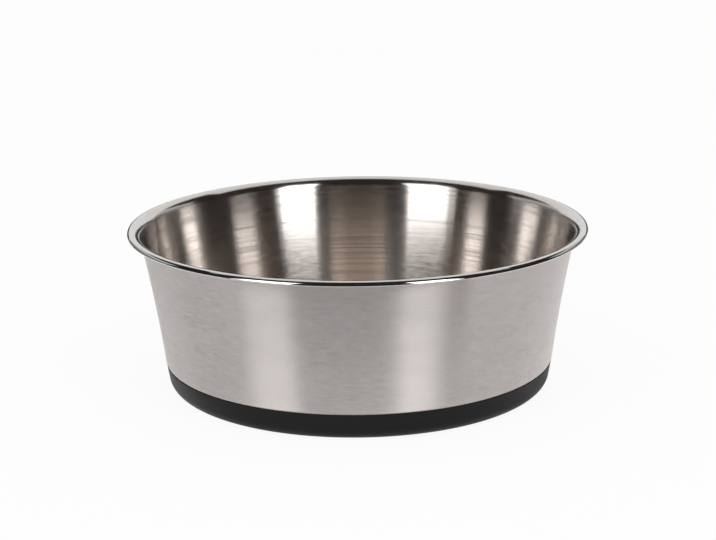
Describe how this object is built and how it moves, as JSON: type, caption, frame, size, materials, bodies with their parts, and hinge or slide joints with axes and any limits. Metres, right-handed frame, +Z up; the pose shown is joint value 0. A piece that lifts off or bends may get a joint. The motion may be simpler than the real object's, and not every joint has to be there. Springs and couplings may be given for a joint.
{
  "type": "dog bowl",
  "caption": "Round stainless steel pet feeding bowl with tapered satin wall, mirror-bright flared rim with rolled-down edge, and a bonded black rubber non-slip base.",
  "frame": {"origin": "centre of the bowl, on the surface that its rubber foot stands on", "axes": "+Z up along the bowl's axis of symmetry; +X and +Y are any two level directions, because the bowl is round"},
  "size_m": [0.25, 0.25, 0.088],
  "materials": {
    "stainless": "satin outside with fine lines round the wall, mirror-bright rim, finely spun inside",
    "adhesive": "cured adhesive, dull",
    "rubber": "smooth moulded, matte"
  },
  "bodies": {
    "root": {"steel_bowl": "stainless", "bond_film": "adhesive", "rubber_base": "rubber"}
  },
  "joints": []
}
